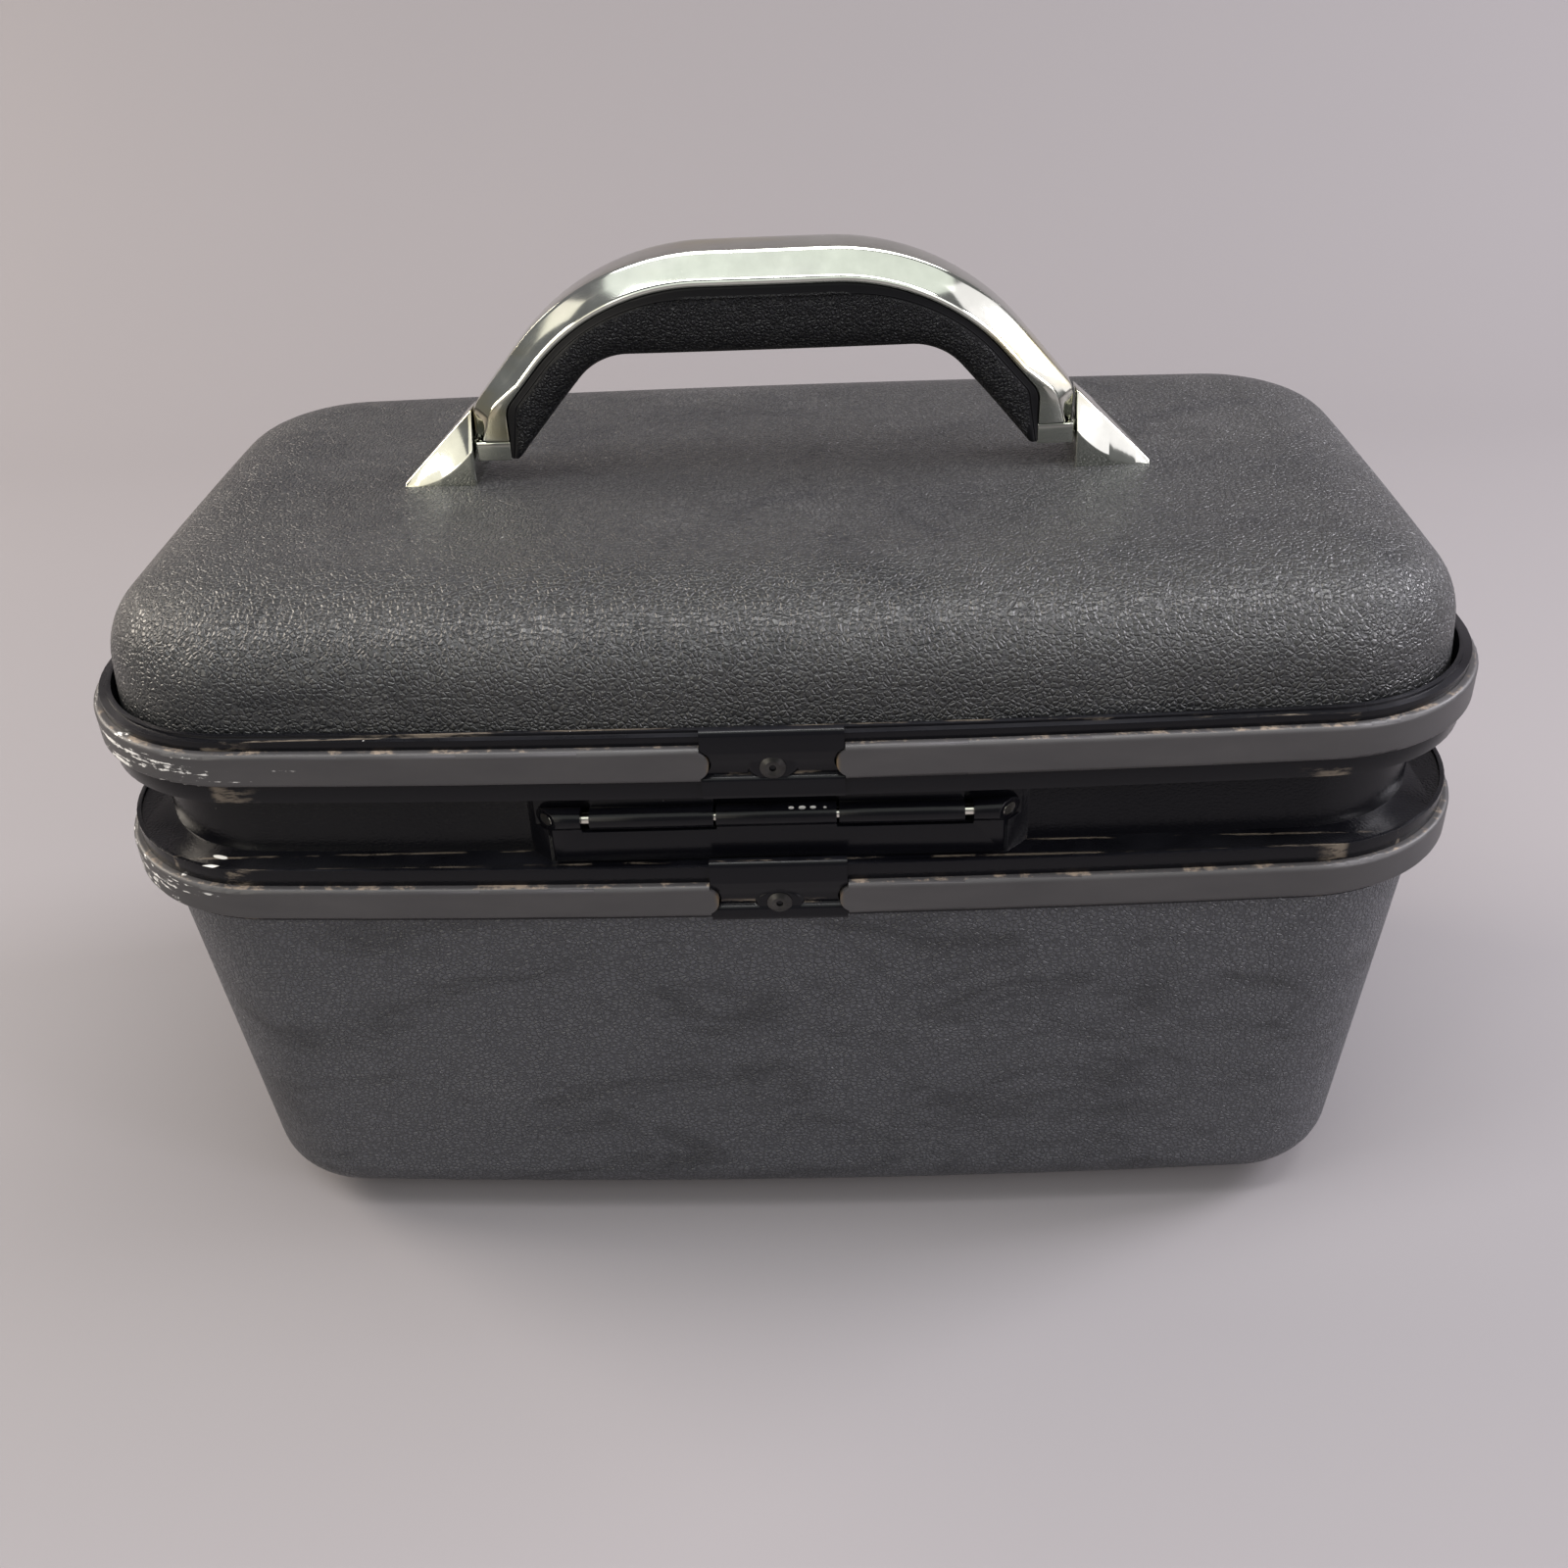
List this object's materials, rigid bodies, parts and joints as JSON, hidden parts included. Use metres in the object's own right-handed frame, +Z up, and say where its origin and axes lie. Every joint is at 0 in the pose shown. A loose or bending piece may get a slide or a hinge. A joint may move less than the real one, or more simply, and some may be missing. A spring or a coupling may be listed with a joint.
{
  "type": "makeup train case",
  "caption": "Hard-sided makeup train case: tapered base, hinged lid with swinging carry handle, recessed latches, mirror and lift-out tray.",
  "frame": {"origin": "on the floor under the middle of the case, between its four feet", "axes": "+X along the case's long side, +Y from the hinge side to the latch side, +Z up"},
  "size_m": [0.345, 0.192, 0.256],
  "materials": {
    "grained_shell": "leather grain, satin",
    "frame_black": "semi-gloss black",
    "bumper_grey": "satin vinyl",
    "fitting_black": "semi-gloss black",
    "rivet_dark": "worn black",
    "foot_dark": "satin",
    "lining_fabric": "satin weave",
    "mirror": "silvered",
    "bezel": "satin",
    "tray_plastic": "satin",
    "grip_black": "leather grain",
    "chrome": "polished",
    "latch_chrome": "satin",
    "steel": "plain"
  },
  "bodies": {
    "base": {"base_bumper_strip": "bumper_grey", "base_feet": "foot_dark", "base_frame": "frame_black", "base_lining": "lining_fabric", "base_seam_clip": "fitting_black", "base_seam_clip_rivet": "rivet_dark", "base_shell": "grained_shell", "hinge_base_leaf": "fitting_black", "hinge_base_rivets": "steel", "hinge_pin": "steel", "latch_case_left": "latch_chrome", "latch_case_right": "latch_chrome"},
    "lid": {"handle_backing_plates": "steel", "handle_bracket_left": "chrome", "handle_bracket_right": "chrome", "handle_pivots": "steel", "handle_screws": "steel", "hanger_rivets_left": "steel", "hanger_rivets_right": "steel", "hasp_hanger_left": "latch_chrome", "hasp_hanger_right": "latch_chrome", "hasp_pin_left": "steel", "hasp_pin_right": "steel", "hinge_lid_leaf": "fitting_black", "hinge_lid_rivets": "steel", "lid_bumper_strip": "bumper_grey", "lid_frame": "frame_black", "lid_lining": "lining_fabric", "lid_seam_clip": "fitting_black", "lid_seam_clip_rivet": "rivet_dark", "lid_shell": "grained_shell", "mirror_bezel": "bezel", "mirror_glass": "mirror"},
    "handle": {"handle_bail": "chrome", "handle_end_left": "chrome", "handle_end_right": "chrome", "handle_grip": "grip_black"},
    "hasp_left": {"hasp_left": "latch_chrome"},
    "hasp_right": {"hasp_right": "latch_chrome"},
    "slide_left": {"latch_slide_left": "latch_chrome"},
    "slide_right": {"latch_slide_right": "latch_chrome"},
    "lock_left": {"lock_plug_left": "latch_chrome"},
    "lock_right": {"lock_plug_right": "latch_chrome"},
    "tray": {"tray": "tray_plastic"}
  },
  "joints": [
    {"name": "lid_open", "type": "hinge", "parent": "base", "child": "lid", "pos_m": [0, -0.089, 0.145], "axis": [1, 0, 0], "range_deg": [0, 100]},
    {"name": "handle_swing", "type": "hinge", "parent": "lid", "child": "handle", "pos_m": [0, 0, 0.2067], "axis": [1, 0, 0], "range_deg": [-80, 80]},
    {"name": "hasp_left_lift", "type": "hinge", "parent": "lid", "child": "hasp_left", "pos_m": [-0.0695, 0.091, 0.1495], "axis": [1, 0, 0], "range_deg": [0, 95]},
    {"name": "hasp_right_lift", "type": "hinge", "parent": "lid", "child": "hasp_right", "pos_m": [0.0695, 0.091, 0.1495], "axis": [1, 0, 0], "range_deg": [0, 95]},
    {"name": "latch_left_slide", "type": "slide", "parent": "base", "child": "slide_left", "axis": [1, 0, 0], "range_m": [0, 0.006]},
    {"name": "latch_right_slide", "type": "slide", "parent": "base", "child": "slide_right", "axis": [-1, 0, 0], "range_m": [0, 0.006]},
    {"name": "lock_left_turn", "type": "hinge", "parent": "base", "child": "lock_left", "pos_m": [-0.11, 0.0905, 0.14047], "axis": [0, 1, 0], "range_deg": [0, 90]},
    {"name": "lock_right_turn", "type": "hinge", "parent": "base", "child": "lock_right", "pos_m": [0.11, 0.0905, 0.14047], "axis": [0, 1, 0], "range_deg": [0, 90]},
    {"name": "tray_lift", "type": "slide", "parent": "base", "child": "tray", "axis": [0, 0, 1], "range_m": [0, 0.025]}
  ]
}
